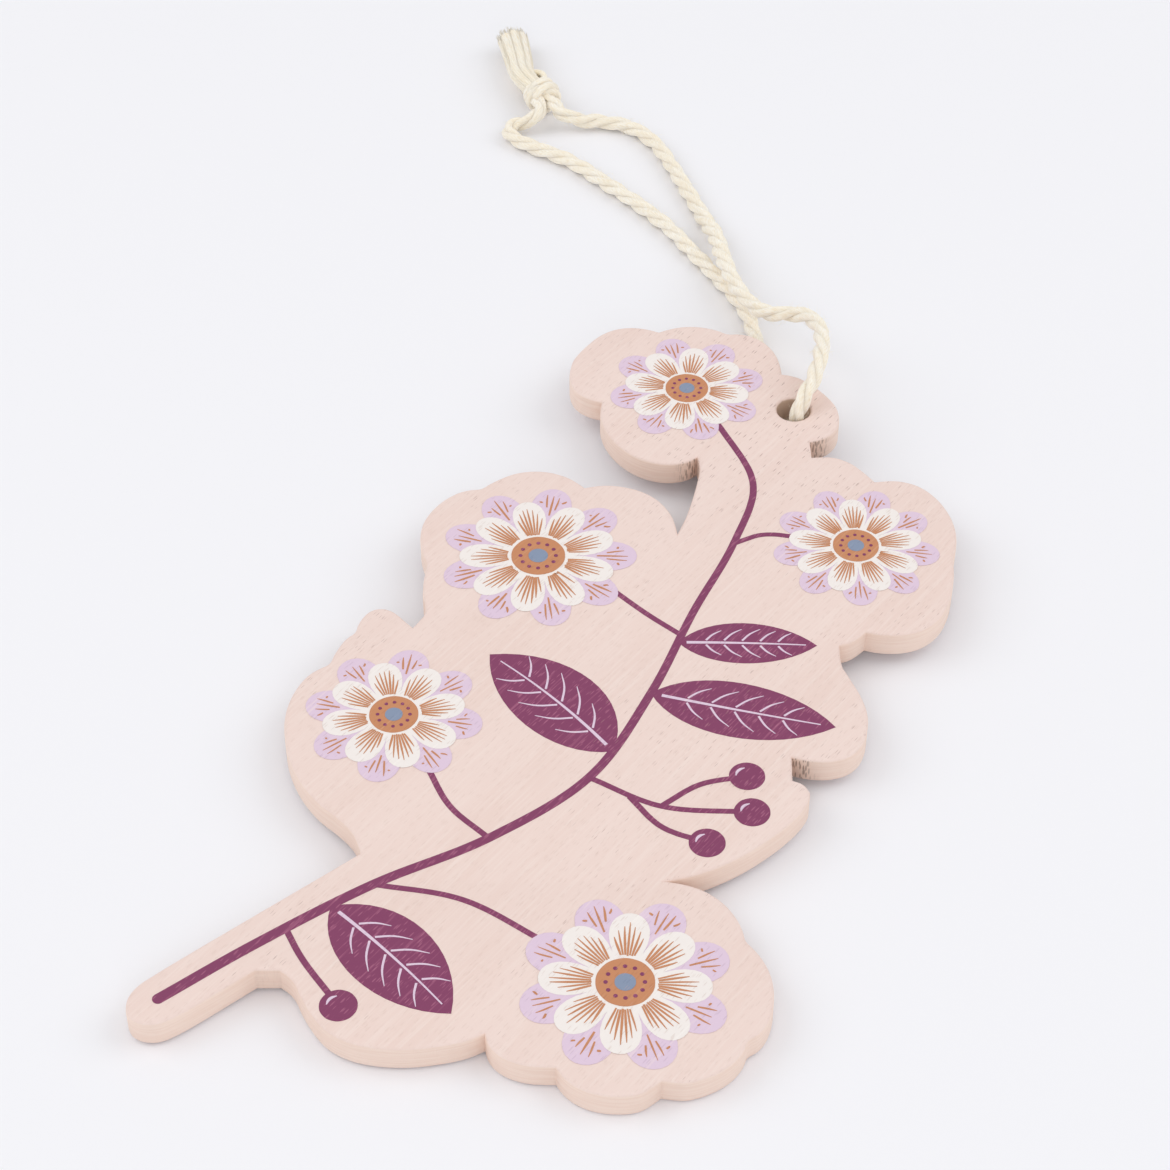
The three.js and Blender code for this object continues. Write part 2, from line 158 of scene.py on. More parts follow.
CORD_UNDER = [
    (-0.5, 2.5, 1.4), (-1.1, 5.2, 1.3), (-2.3, 10.6, 1.3), (-3.5, 16.8, 1.3), (-4.4, 23.2, 1.3),
    (-5.2, 28, 1.3), (-6.8, 32.8, 1.3), (-10.1, 39, 1.3), (-13.5, 45, 1.3), (-16.8, 50.8, 1.3),
    (-20.3, 55.6, 1.3), (-24.1, 60, 1.3), (-27.7, 63.9, 1.3), (-31.3, 67.8, 1.3), (-34.5, 70.4, 1.3),
    (-38.3, 72.7, 1.3), (-41.2, 74.9, 1.3), (-42.7, 77, 1.4), (-41.8, 78.6, 1.6), (-40.1, 78.9, 2),
    (-38.7, 79.2, 2.5), (-37.9, 79.8, 3.1), (-37.6, 80.5, 3.3),
]
KNOT_NEAR = (-36.5, 81.7, 3.3)
KNOT_FAR = (-38.9, 89.2, 3.3)
BRUSH_END = (-42.8, 104.4, 2.6)
CURVE_STEPS = 24


def from_hole(point):
    """A point of the route in the part's frame, in metres."""
    return Vector((hole.x + point[0] * MM, hole.y + point[1] * MM, point[2] * MM))


def smooth_route(points, spacing):
    """A centripetal curve through the points, cut into equal steps of about the spacing."""
    ends = [2 * points[0] - points[1], *points, 2 * points[-1] - points[-2]]
    dense = []
    for p0, p1, p2, p3 in zip(ends, ends[1:], ends[2:], ends[3:]):
        t1 = (p1 - p0).length ** 0.5
        t2 = t1 + (p2 - p1).length ** 0.5
        t3 = t2 + (p3 - p2).length ** 0.5
        for step in range(CURVE_STEPS):
            t = t1 + (t2 - t1) * step / CURVE_STEPS
            a1 = p0.lerp(p1, t / t1)
            a2 = p1.lerp(p2, (t - t1) / (t2 - t1))
            a3 = p2.lerp(p3, (t - t2) / (t3 - t2))
            b1 = a1.lerp(a2, t / t2)
            b2 = a2.lerp(a3, (t - t1) / (t3 - t1))
            dense.append(b1.lerp(b2, (t - t1) / (t2 - t1)))
    dense.append(points[-1])
    lengths = [0.0]
    for a, b in zip(dense, dense[1:]):
        lengths.append(lengths[-1] + (b - a).length)
    steps = max(2, round(lengths[-1] / spacing))
    route = []
    i = 0
    for step in range(steps + 1):
        s = lengths[-1] * step / steps
        while i < len(dense) - 2 and lengths[i + 1] < s:
            i += 1
        share = (s - lengths[i]) / max(lengths[i + 1] - lengths[i], 1e-12)
        route.append(dense[i].lerp(dense[i + 1], share))
    return route


def length_of(route):
    return sum((b - a).length for a, b in zip(route, route[1:]))


# %% [markdown]
# Inside the knot the two strands are squeezed together, so both routes run on
# through it to the frayed ends. The knot's own frame has one axis along it and
# one across, flat on the floor. A place in it is a share of the knot's length,
# and then cord radii sideways and up.

# %% The two strands, on into the knot
OVER_IN_KNOT = [(0.2, 0.75), (0.6, 0.6, 0.2)]
UNDER_IN_KNOT = [(0.2, -0.75), (0.6, -0.6, -0.2)]

knot_near = from_hole(KNOT_NEAR)
knot_far = from_hole(KNOT_FAR)
knot_axis = (knot_far - knot_near).normalized()
knot_side = knot_axis.cross(Vector((0, 0, 1))).normalized()
knot_up = knot_side.cross(knot_axis)
knot_length = (knot_far - knot_near).length
cord_radius = CORD_DIAMETER / 2 * MM
RING_SPACING = 0.4 * MM


def in_knot(share, side, up=0.0):
    """A point of the knot: share of its length, and cord radii sideways and up."""
    return (
        knot_near
        + knot_axis * knot_length * share
        + knot_side * side * cord_radius
        + knot_up * up * cord_radius
    )


over_points = [from_hole(p) for p in [*CORD_BEND[::-1], *CORD_OVER]] + [in_knot(*p) for p in OVER_IN_KNOT]
under_points = [from_hole(p) for p in CORD_UNDER] + [in_knot(*p) for p in UNDER_IN_KNOT]
over_route = smooth_route(over_points, RING_SPACING)
under_route = smooth_route([over_points[0], *under_points], RING_SPACING)
print("strands", rounded((length_of(over_route), length_of(under_route)), 1), "mm")

# %% [markdown]
# ## Twisted cord
#
# Three plies lie round each other with a left-hand twist, and each ply is itself
# a twist of a few yarns the other way. So each ply is a tube whose centre winds
# round the route and whose section has small lobes that wind back. Modelling
# the plies, rather than only shading them, gives the cord its uneven edge and
# real shadows. A slub is a soft thick stretch, as hand-spun yarn has, and its
# place and reach are millimetres along the strand.

# %% Sweep plies along a route
PLIES = 3
PLY_RADIUS = 0.25 * CORD_DIAMETER * MM
PLY_OFFSET = 0.22 * CORD_DIAMETER * MM
CORD_LAY = 11.5 * MM
YARNS = 4
YARN_LAY = 6.0 * MM
YARN_RELIEF = 0.08
PLY_SIDES = 16
SLUB_PLACE = 62.0
SLUB_REACH = 12.0
SLUB_SWELL = 0.14


def frames_along(route):
    """Tangent and two normals at each point, carried along without twist."""
    steps = [(b - a).normalized() for a, b in zip(route, route[1:])]
    between = [(a + b).normalized() for a, b in zip(steps, steps[1:])]
    tangents = [steps[0], *between, steps[-1]]
    normal = tangents[0].orthogonal().normalized()
    found = []
    for tangent in tangents:
        normal = (normal - tangent * normal.dot(tangent)).normalized()
        found.append((tangent, normal, tangent.cross(normal)))
    return found


def around(normal, binormal, angle):
    """The direction at an angle round the route."""
    return normal * math.cos(angle) + binormal * math.sin(angle)


def add_tube(shape, rings, along):
    """Adds one closed tube to shape, from its rings of points; along is each ring's place on it."""
    verts, faces, uvs = shape
    first = len(verts)
    sides = len(rings[0])
    for ring in rings:
        verts.extend(ring)
    for i in range(len(rings) - 1):
        for j in range(sides):
            corners = ((i, j), (i, j + 1), (i + 1, j + 1), (i + 1, j))
            faces.append([first + row * sides + k % sides for row, k in corners])
            uvs.append([(k / sides, along[row]) for row, k in corners])
    for row, order in ((0, -1), (len(rings) - 1, 1)):
        faces.append([first + row * sides + j for j in range(sides)][::order])
        uvs.append([(j / sides, along[row]) for j in range(sides)][::order])


def ply_rings(route, ply, slub):
    """Rings of one ply along the route, and their places on it; slub is how much it swells there."""
    rings = []
    along = []
    s = 0.0
    last = route[0]
    for p, (_, normal, binormal) in zip(route, frames_along(route)):
        s += (p - last).length
        last = p
        turned = math.tau * (ply / PLIES - s / CORD_LAY)
        swell = 1 + slub * math.exp(-(((s / MM - SLUB_PLACE) / SLUB_REACH) ** 2))
        centre = p + around(normal, binormal, turned) * PLY_OFFSET * swell
        ring = []
        for j in range(PLY_SIDES):
            angle = math.tau * j / PLY_SIDES
            lobe = 1 + YARN_RELIEF * math.cos(YARNS * angle - math.tau * s / YARN_LAY)
            radius = PLY_RADIUS * swell * lobe
            ring.append(centre + around(normal, binormal, angle) * radius)
        rings.append(ring)
        along.append(s / MM)
    return rings, along


def new_shape():
    return ([], [], [])


def finish_shape(name, shape, material):
    """A mesh object from the shape's points, faces and UVs, smooth and in one material."""
    verts, faces, uvs = shape
    mesh = bpy.data.meshes.new(name)
    mesh.from_pydata(verts, [], faces)
    layer = mesh.uv_layers.new(name="lay")
    layer.uv.foreach_set("vector", [c for face in uvs for uv in face for c in uv])
    mesh.polygons.foreach_set("use_smooth", [True] * len(mesh.polygons))
    mesh.materials.append(material)
    mesh.validate()
    return add_object(name, mesh)


def cord_piece(name, route, slub=0.0):
    """One stretch of cord: its plies along the route, as one piece."""
    shape = new_shape()
    for ply in range(PLIES):
        add_tube(shape, *ply_rings(route, ply, slub))
    return finish_shape(name, shape, cotton)


# %% [markdown]
# ## Shader helpers
#
# Materials are written as short lists of nodes. These helpers add a node with
# its values and join sockets, so each material reads as a recipe.


# %% Helpers for shader nodes
def srgb(red, green, blue):
    """A colour as a screen shows it, from 0 to 255, as the linear values that a shader takes."""
    return [(c / 255 / 12.92) if c / 255 <= 0.04045 else ((c / 255 + 0.055) / 1.055) ** 2.4
            for c in (red, green, blue)] + [1.0]


class Nodes:
    """Adds and joins nodes in one tree."""

    def __init__(self, tree):
        self.tree = tree

    def add(self, kind, settings=None, **inputs):
        """A node with its settings and inputs; i0 is its first input, and _ stands for a space."""
        node = self.tree.nodes.new("ShaderNode" + kind)
        for name, value in (settings or {}).items():
            setattr(node, name, value)
        for name, value in inputs.items():
            key = int(name[1:]) if name[0] == "i" and name[1:].isdigit() else name.replace("_", " ")
            self.set(node.inputs[key], value)
        return node

    def set(self, socket, value):
        if isinstance(value, bpy.types.NodeSocket):
            self.tree.links.new(value, socket)
        else:
            socket.default_value = value

    def math(self, operation, a, b=0.0):
        return self.add("Math", {"operation": operation}, i0=a, i1=b).outputs[0]

    def smooth(self, value, low, high):
        """0 below low, 1 above high, and a soft step between."""
        settings = {"interpolation_type": "SMOOTHSTEP"}
        return self.add("MapRange", settings, Value=value, From_Min=low, From_Max=high).outputs["Result"]

    def mix(self, factor, a, b):
        return self.add("Mix", {"data_type": "RGBA"}, Factor=factor, A=a, B=b).outputs["Result"]

    def tint(self, tone, mask, share, colour):
        """The tone with a share of a colour over it, where the mask is."""
        return self.mix(self.math("MULTIPLY", mask, share), tone, srgb(*colour))

    def stretched(self, place, *sizes, shift=(0, 0, 0)):
        """The place with one unit per size along each axis, in millimetres."""
        scale = [1 / (size * MM) for size in sizes]
        return self.add("Mapping", Vector=place, Scale=scale, Location=shift).outputs[0]

    def noise(self, place, scale=1.0, detail=2.0, roughness=0.5):
        """Soft noise, with blots of about one unit of the place."""
        return self.add("TexNoise", Vector=place, Scale=scale, Detail=detail, Roughness=roughness).outputs[0]

    def dress(self, shader, tone, height, strength, depth):
        """Gives the shader its colour and a bump, whose depth is in millimetres."""
        bump = self.add("Bump", Strength=strength, Distance=depth * MM, Height=height)
        self.set(shader.inputs["Base Color"], tone)
        self.set(shader.inputs["Normal"], bump.outputs[0])


def new_material(name, roughness, **sockets):
    """A material with a Principled shader: its nodes, and the shader itself."""
    material = bpy.data.materials.new(name)
    material.use_nodes = True
    nodes = Nodes(material.node_tree)
    shader = material.node_tree.nodes["Principled BSDF"]
    shader.inputs["Roughness"].default_value = roughness
    for socket, value in sockets.items():
        shader.inputs[socket.replace("_", " ")].default_value = value
    return material, nodes, shader


# %% [markdown]
# ## Cotton
#
# Cotton yarn is matt and lets a little light in, so it has a sheen and some
# scatter, and a fine streak along each ply. The streaks follow the cord's own
# UV map, where v is millimetres along the cord and u goes round the ply, and
# they slant with the yarns. Single fibres are too thin for scatter, which would
# darken them, so theirs is none, and their colour is painted lighter than the
# cord's to make up for the shade between them. The combed-out ends are a
# little creamier.

# %% Cotton material
YARN_SLANT = 0.11
STREAKS_ROUND = 26.0
STREAKS_ALONG = 1.1


def make_cotton(name, scatter, deep, pale):
    material, nodes, shader = new_material(
        name, 0.95, Sheen_Weight=0.4, Sheen_Roughness=0.6,
        Subsurface_Weight=scatter, Subsurface_Scale=0.8 * MM, Subsurface_Radius=(1.0, 1.0, 1.0),
    )
    lay = nodes.add("UVMap", {"uv_map": "lay"}).outputs["UV"]
    split = nodes.add("SeparateXYZ", Vector=lay).outputs
    twisted = nodes.math("SUBTRACT", split["X"], nodes.math("MULTIPLY", split["Y"], YARN_SLANT))
    streak_place = nodes.add(
        "CombineXYZ",
        X=nodes.math("MULTIPLY", twisted, STREAKS_ROUND),
        Y=nodes.math("MULTIPLY", split["Y"], STREAKS_ALONG),
    ).outputs[0]
    fibres = nodes.noise(streak_place, detail=3.0, roughness=0.6)
    slubs = nodes.noise(lay, scale=0.35)
    light = nodes.mix(nodes.smooth(slubs, 0.35, 0.7), srgb(*pale), srgb(253, 246, 234))
    tone = nodes.mix(nodes.smooth(fibres, 0.3, 0.6), srgb(*deep), light)
    nodes.dress(shader, tone, fibres, strength=0.5, depth=0.1)
    return material


cotton = make_cotton("cream_cotton", 0.4, (241, 227, 202), (250, 240, 223))
cotton_brush = make_cotton("cream_cotton_brush", 0.4, (246, 228, 197), (254, 241, 217))
# Painted light: the fibres' cotton is lighter than the cord's, to offset the shade among thin fibres.
cotton_fibre_painted_lighter = make_cotton("cream_cotton_fibre_painted_lighter", 0.0, (250, 240, 216), (254, 247, 230))
print("materials", cotton.name, cotton_brush.name, cotton_fibre_painted_lighter.name)

# %% [markdown]
# ## The cord's pieces
#
# The strand over the board, with the stretch through the hole, and the strand
# under it are the two free cords. Both start at the back of the hole. The
# strand over the board has the slub, halfway between the board and the knot.

# %% Strands
over_strand = cord_piece("cord_over", over_route, SLUB_SWELL)
under_strand = cord_piece("cord_under", under_route)
print("strands", len(over_strand.data.polygons), "and", len(under_strand.data.polygons), "faces")

# %% [markdown]
# The overhand knot shows as the cord wound twice round the two strands, on a
# slant. The wrap's ends turn in between the strands, where they can't be seen.
# As in the knot's own frame, its middle, span and slant are shares of the
# knot's length, and its reaches sideways and up are cord radii.

# %% Knot
KNOT_TURNS = 2
TURN_STEPS = 14
END_STEPS = 2
WRAP_MIDDLE = 0.45
WRAP_SPAN = 0.36
WRAP_SLANT = 0.07
WRAP_ASIDE = 0.3
WRAP_ACROSS = 1.5
WRAP_UP = 1.25
WRAP_SINK = 0.15
END_INWARD = 0.65
END_CLOSER = 0.6


def wrap_route():
    points = []
    steps = TURN_STEPS * KNOT_TURNS
    for i in range(-END_STEPS, steps + END_STEPS + 1):
        share = i / steps
        beyond = max(-i, i - steps, 0) / END_STEPS
        angle = math.tau * KNOT_TURNS * share
        inward = 1 - END_INWARD * beyond
        spread = WRAP_SPAN * (share - 0.5) * (1 - END_CLOSER * beyond)
        along = WRAP_MIDDLE + spread + WRAP_SLANT * math.sin(angle)
        side = WRAP_ASIDE + WRAP_ACROSS * inward * math.sin(angle)
        points.append(in_knot(along, side, -WRAP_SINK - WRAP_UP * inward * math.cos(angle)))
    return smooth_route(points, RING_SPACING)


wraps = wrap_route()
knot = cord_piece("cord_knot_wraps", wraps)
print("knot of", round(length_of(wraps) / MM, 1), "mm of cord")

# %% [markdown]
# Right of the brush a few loose plies bulge out of the knot in a small loop and
# go back in with the fibres. They lie one below the other, so the little gap
# that they close in is dark. The drops are millimetres below the topmost one.

# %% Loose plies
LOOSE_PLY = [
    (-37.5, 86.4, 3.2), (-37, 88.6, 3.3), (-36.9, 90.2, 3.3), (-37.4, 91.3, 3.3), (-38.4, 91.8, 3.2),
    (-39.5, 91.5, 3), (-40.3, 90, 2.8),
]
LOOSE_PLY_DROPS = [0, 0.85, 1.7, 2.5]
LOOSE_PLY_RADIUS = 0.52 * MM

# %% [markdown]
# Behind the knot the cord's two cut ends are combed out. The plies lose their
# twist and lie side by side as soft ribbed locks that open towards the tip, and
# single fibres lie over them. The locks carry most of the light, as a mass of
# fine yarn does, and the fibres only break up their outline and their cut tips.

# %% The brush's line and its width
BRUSH_START = (0.45, 0.1)
BRUSH_ROOT = (-40.5, 90.8, 3.2)
BRUSH_MIDDLE = (-41.4, 96, 3)
ROOT_HALF_WIDTH = 1.75 * MM
TIP_HALF_WIDTH = 2.6 * MM
FIBRE_STEPS = 9

brush_random = random.Random(4)
brush_points = [in_knot(*BRUSH_START), *(from_hole(p) for p in (BRUSH_ROOT, BRUSH_MIDDLE, BRUSH_END))]
brush_dense = smooth_route(brush_points, RING_SPACING)
brush_length = length_of(brush_dense)
brush_line = smooth_route(brush_points, brush_length / FIBRE_STEPS)


def even_shares(count):
    """Even shares from 0 to 1, one for each of so many points."""
    return [i / (count - 1) for i in range(count)]


def brush_place(line, spread):
    """For each point of the line: the share along it, itself, its tangent, side, up and half width."""
    for share, centre, (tangent, _, _) in zip(even_shares(len(line)), line, frames_along(line)):
        side = tangent.cross(Vector((0, 0, 1))).normalized()
        half_width = (ROOT_HALF_WIDTH + (TIP_HALF_WIDTH - ROOT_HALF_WIDTH) * share) * spread
        yield share, centre, tangent, side, side.cross(tangent), half_width


print("brush", round(brush_length / MM, 1), "mm long")

# %% Locks
BRUSH_LOCKS = 8
LOCK_SIDES = 52
LOCK_RIBS = 13
RIB_DEPTH = 0.05
RIB_TURN = 1.6
LOCK_OUT = 0.53
LOCK_HALF_WIDTH = 0.47
BRUSH_FLATNESS = 0.72
LOCK_FLATNESS = 0.85
LOCK_APART = (-0.2, 0.2)
LOCK_SHORT = (1.4, 2.4)
LOCK_RAGGED = (-0.35, 0.1)
RAGGED_ONSET = 8
LOCK_STREAK = 0.25
FIBRE_RADIUS = 0.075 * MM


def brush_lock(number):
    """Rings of one combed-out ply: ribbed along, and ragged where it is cut."""
    angle = math.tau * (number + brush_random.uniform(*LOCK_APART)) / BRUSH_LOCKS
    short = brush_random.uniform(*LOCK_SHORT) * MM
    ragged = [brush_random.uniform(*LOCK_RAGGED) * MM for _ in range(LOCK_SIDES)]
    first_rib = brush_random.uniform(0, math.tau)
    rings = []
    for share, centre, tangent, side, up, half_width in brush_place(brush_dense, 1.0):
        middle = centre + around(side, up * BRUSH_FLATNESS, angle) * half_width * LOCK_OUT
        middle -= tangent * short * share
        ring = []
        for j in range(LOCK_SIDES):
            turned = math.tau * j / LOCK_SIDES
            rib = 1 + RIB_DEPTH * math.cos(LOCK_RIBS * turned + first_rib + RIB_TURN * share)
            out = around(side, up * LOCK_FLATNESS, turned) * half_width * LOCK_HALF_WIDTH * rib
            p = middle + out + tangent * ragged[j] * share ** RAGGED_ONSET
            p.z = max(p.z, FIBRE_RADIUS)
            ring.append(p)
        rings.append(ring)
    return rings


def taper_rings(points, radii, sides):
    """Round rings along the points, each with its own radius."""
    rings = []
    for (_, normal, binormal), p, radius in zip(frames_along(points), points, radii):
        rings.append([p + around(normal, binormal, math.tau * j / sides) * radius for j in range(sides)])
    return rings


def make_locks():
    shape = new_shape()
    for number in range(BRUSH_LOCKS):
        rings = brush_lock(number)
        add_tube(shape, rings, [LOCK_STREAK * RING_SPACING / MM * i for i in range(len(rings))])
    for drop in LOOSE_PLY_DROPS:
        loose = smooth_route([from_hole((x, y, z - drop)) for x, y, z in LOOSE_PLY], RING_SPACING)
        places = [RING_SPACING / MM * i for i in range(len(loose))]
        add_tube(shape, taper_rings(loose, [LOOSE_PLY_RADIUS] * len(loose), PLY_SIDES), places)
    return finish_shape("cord_brush", shape, cotton_brush)


brush = make_locks()

# %% Fibres over the locks and at their tips
BRUSH_FIBRES = 140
TIP_FIBRES = 340
TIP_POINTS = 4
FIBRE_SIDES = 5
FIBRE_TAPER = 0.4
FIBRE_SWAY = 0.16 * MM
FIBRE_WAVE = 3.5
FIBRE_FLATNESS = 0.74
OVER_REACH = (0.8, 1.0)
OVER_SHORT = (0.5, 2.5)
TIP_SHORT = (0.4, 2.5)


def brush_fibre(reach, short):
    """Points of one fibre: its reach out from the middle, and how short of the tip it ends."""
    angle = brush_random.uniform(0, math.tau)
    wave = brush_random.uniform(0, math.tau)
    points = []
    for share, centre, tangent, side, up, half_width in brush_place(brush_line, reach):
        sway = math.sin(wave + FIBRE_WAVE * share) * FIBRE_SWAY * share
        p = centre + around(side, up * FIBRE_FLATNESS, angle) * half_width + (side + up) * sway
        p -= tangent * short * share
        p.z = max(p.z, FIBRE_RADIUS)
        points.append(p)
    return points


def thin_fibre(shape, points):
    shares = even_shares(len(points))
    rings = taper_rings(points, [FIBRE_RADIUS * (1 - FIBRE_TAPER * share) for share in shares], FIBRE_SIDES)
    add_tube(shape, rings, [brush_length / MM * share for share in shares])


def make_brush_fibres():
    shape = new_shape()
    for _ in range(BRUSH_FIBRES):
        reach = brush_random.uniform(*OVER_REACH)
        thin_fibre(shape, brush_fibre(reach, brush_random.uniform(*OVER_SHORT) * MM))
    for _ in range(TIP_FIBRES):
        reach = math.sqrt(brush_random.random())
        thin_fibre(shape, brush_fibre(reach, brush_random.uniform(*TIP_SHORT) * MM)[-TIP_POINTS:])
    return finish_shape("cord_brush_fibres", shape, cotton_fibre_painted_lighter)


brush_fibres = make_brush_fibres()
print("brush", len(brush.data.polygons), "faces, fibres", len(brush_fibres.data.polygons), "faces")

# %% [markdown]
# Loose ends of fibre stand off the cord all along it. They are too thin to see
# one by one, but they soften its edge as in the photograph.

# %% Fuzz
FUZZ_COUNT = 900
FUZZ_RADIUS = 0.022 * MM
FUZZ_TAPER = 0.6
FUZZ_SIDES = 3
FUZZ_SHARES = even_shares(5)
FUZZ_ROOT = 0.8
FUZZ_LEAN = (0.5, 1.6)
FUZZ_CURL = (-0.6, 0.6)
FUZZ_REACH = (0.35, 1.0)
fuzz_random = random.Random(11)


def fuzz_hair(route, frames):
    """Points of one short hair that stands off the cord, leans along it and curls."""
    i = fuzz_random.randrange(2, len(route) - 2)
    tangent, normal, binormal = frames[i]
    out = around(normal, binormal, fuzz_random.uniform(0, math.tau))
    lean = tangent * fuzz_random.choice((-1, 1)) * fuzz_random.uniform(*FUZZ_LEAN)
    curl = tangent.cross(out) * fuzz_random.uniform(*FUZZ_CURL)
    reach = fuzz_random.uniform(*FUZZ_REACH) * MM
    points = []
    for share in FUZZ_SHARES:
        stand = (out + lean * share + curl * share * share) * reach * share
        p = route[i] + out * cord_radius * FUZZ_ROOT + stand
        p.z = min(max(p.z, FUZZ_RADIUS), cad_box[1][2])
        points.append(p)
    return points


def make_fuzz(routes):
    shape = new_shape()
    framed = [(route, frames_along(route)) for route in routes]
    radii = [FUZZ_RADIUS * (1 - FUZZ_TAPER * share) for share in FUZZ_SHARES]
    for number in range(FUZZ_COUNT):
        points = fuzz_hair(*framed[number % len(framed)])
        add_tube(shape, taper_rings(points, radii, FUZZ_SIDES), FUZZ_SHARES)
    return finish_shape("cord_fuzz", shape, cotton_fibre_painted_lighter)


fuzz = make_fuzz([over_route, under_route])
print("fuzz", FUZZ_COUNT, "hairs")

# %% [markdown]
# The real cord is limp, and nothing but the hole and the knot holds it. Each
# piece of it is attached to the root, and the strands, the knot and the brush
# hide the imported nodes that they stand for.

for piece, nodes_replaced in (
    (over_strand, ("cord_over_strand", "cord_through_hole")),
    (under_strand, ("cord_under_strand",)),
    (knot, ("cord_knot",)),
    (brush, ("cord_frayed_ends",)),
    (brush_fibres, ()),
    (fuzz, ()),
):
    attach(piece, "root")
    if nodes_replaced:
        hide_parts(*nodes_replaced)

# %% [markdown]
# ## Wood grain, shared by the board and the inks
#
# The inks are thin, so the same grain shows through all of them at the same
# place. One node group holds it: long soft bands, short ray flecks and sparse
# dark pores, all drawn out along the grain at 52 degrees to the tag's width.
# The pores stand closest round the hole, and elsewhere only in soft patches.
# The group puts out masks, and each material decides what they do to its
# colour. Its sizes are millimetres along the grain and across it.

# %% Grain node group
GRAIN_ANGLE = 52.0
PORED_FULLY = 8.0
PORED_REACH = 42.0
PATCH_SIZE = 14.0
PATCH_PORES = 0.55


def make_grain():
    tree = bpy.data.node_groups.new("beech_grain", "ShaderNodeTree")
    for name in ("Bands", "Lines", "Flecks", "Pores", "Height"):
        tree.interface.new_socket(name=name, in_out="OUTPUT", socket_type="NodeSocketFloat")
    nodes = Nodes(tree)
    output = tree.nodes.new("NodeGroupOutput")
    place = nodes.add("TexCoord").outputs["Object"]
    along = nodes.add("Mapping", Vector=place, Rotation=(0, 0, math.radians(-GRAIN_ANGLE))).outputs[0]

    def drawn_out(length, width, seed):
        """The grain's coordinates with one unit per length along it and per width across it."""
        return nodes.stretched(along, length, width, width, shift=(seed, seed * 1.7, seed * 2.3))

    def dashes(length, width, seed, share, size):
        """Short dashes in a share of the cells of a drawn-out cell pattern."""
        cells = nodes.add("TexVoronoi", Vector=drawn_out(length, width, seed), Scale=1.0).outputs
        chosen = nodes.add("SeparateColor", Color=cells["Color"]).outputs[0]
        on = nodes.math("LESS_THAN", chosen, share)
        dash = nodes.smooth(cells["Distance"], size, size * 0.45)
        return nodes.math("MULTIPLY", on, dash)

    bands = nodes.noise(drawn_out(length=60, width=9, seed=3.1))
    lines = nodes.noise(drawn_out(length=9, width=0.35, seed=7.7))
    flecks = dashes(length=1.5, width=0.24, seed=1.3, share=0.5, size=0.42)
    away = nodes.add("VectorMath", {"operation": "DISTANCE"}, i0=place, i1=tuple(hole)).outputs["Value"]
    near_hole = nodes.smooth(away, PORED_REACH * MM, PORED_FULLY * MM)
    patches = nodes.noise(place, scale=1 / (PATCH_SIZE * MM), detail=1.0)
    in_patches = nodes.math("MULTIPLY", nodes.smooth(patches, 0.5, 0.62), PATCH_PORES)
    dense = nodes.math("MAXIMUM", near_hole, in_patches)
    pores = dashes(length=1.6, width=0.16, seed=5.9, share=0.16, size=0.36)
    pores = nodes.math("MULTIPLY", pores, dense)
    height = nodes.math("SUBTRACT", nodes.math("MULTIPLY", lines, 0.5), nodes.math("ADD", flecks, pores))
    for socket, value in zip(output.inputs, (bands, lines, flecks, pores, height)):
        nodes.set(socket, value)
    return tree


grain_group = make_grain()


def add_grain(nodes):
    node = nodes.tree.nodes.new("ShaderNodeGroup")
    node.node_tree = grain_group
    return node.outputs


print("grain", len(grain_group.nodes), "nodes")

# %% [markdown]
# ## Beech
#
# The face is sanded smooth and has a pale blush stain. On the cut walls the
# stain sits a little darker. Most notches between lobes were sanded too, but
# three stayed rough, and only there do dark dots of end grain show. Towards
# each notch the walls carry painted shade, deepest at the three rough ones.
# The wall of the hole is a darker brown. The board's own attributes say how
# near a point is to a notch, and whether it is in the hole.

# %% Beech material
FACE, FACE_BAND, FACE_LINE = (238, 216, 208), (235, 211, 202), (240, 220, 212)
FLECK, PORE = (216, 188, 176), (138, 100, 90)
WALL_DEEP, WALL_PALE = (239, 214, 200), (243, 221, 208)
NOTCH_PAINTED_SHADE, END_GRAIN, HOLE_WALL_TONE = (186, 150, 130), (96, 70, 58), (203, 177, 158)
WALL_STREAK = (7, 7, 0.25)
END_GRAIN_DOT = (0.28, 0.28, 1.5)


def make_beech():
    material, nodes, shader = new_material("blush_beech", 0.62)
    grain = add_grain(nodes)
    face = nodes.mix(nodes.smooth(grain["Bands"], 0.3, 0.7), srgb(*FACE), srgb(*FACE_BAND))
    face = nodes.mix(nodes.smooth(grain["Lines"], 0.4, 0.8), face, srgb(*FACE_LINE))
    face = nodes.tint(face, grain["Flecks"], 0.2, FLECK)
    face = nodes.tint(face, grain["Pores"], 0.72, PORE)
    coords = nodes.add("TexCoord").outputs
    up = nodes.add("SeparateXYZ", Vector=coords["Normal"]).outputs["Z"]
    wall = nodes.smooth(nodes.math("ABSOLUTE", up), 0.75, 0.25)
    streaks = nodes.noise(nodes.stretched(coords["Object"], *WALL_STREAK))
    side = nodes.mix(nodes.smooth(streaks, 0.35, 0.65), srgb(*WALL_DEEP), srgb(*WALL_PALE))
    notch = nodes.add("Attribute", {"attribute_name": "notch"}).outputs["Fac"]
    dot_place = nodes.stretched(coords["Object"], *END_GRAIN_DOT)
    dots = nodes.add("TexVoronoi", Vector=dot_place, Scale=1.0).outputs["Distance"]
    dots = nodes.math("MULTIPLY", nodes.smooth(dots, 0.5, 0.28), nodes.smooth(notch, 0.15, 0.5))
    # Painted shade: the walls darken towards each notch, most at the rough ones.
    side = nodes.tint(side, notch, 0.45, NOTCH_PAINTED_SHADE)
    side = nodes.tint(side, dots, 0.62, END_GRAIN)
    drilled = nodes.add("Attribute", {"attribute_name": "drilled"}).outputs["Fac"]
    # The wall of the hole is a darker brown.
    side = nodes.mix(drilled, side, srgb(*HOLE_WALL_TONE))
    nodes.dress(shader, nodes.mix(wall, face, side), grain["Height"], strength=0.35, depth=0.06)
    return material


beech = make_beech()
print("material", beech.name)

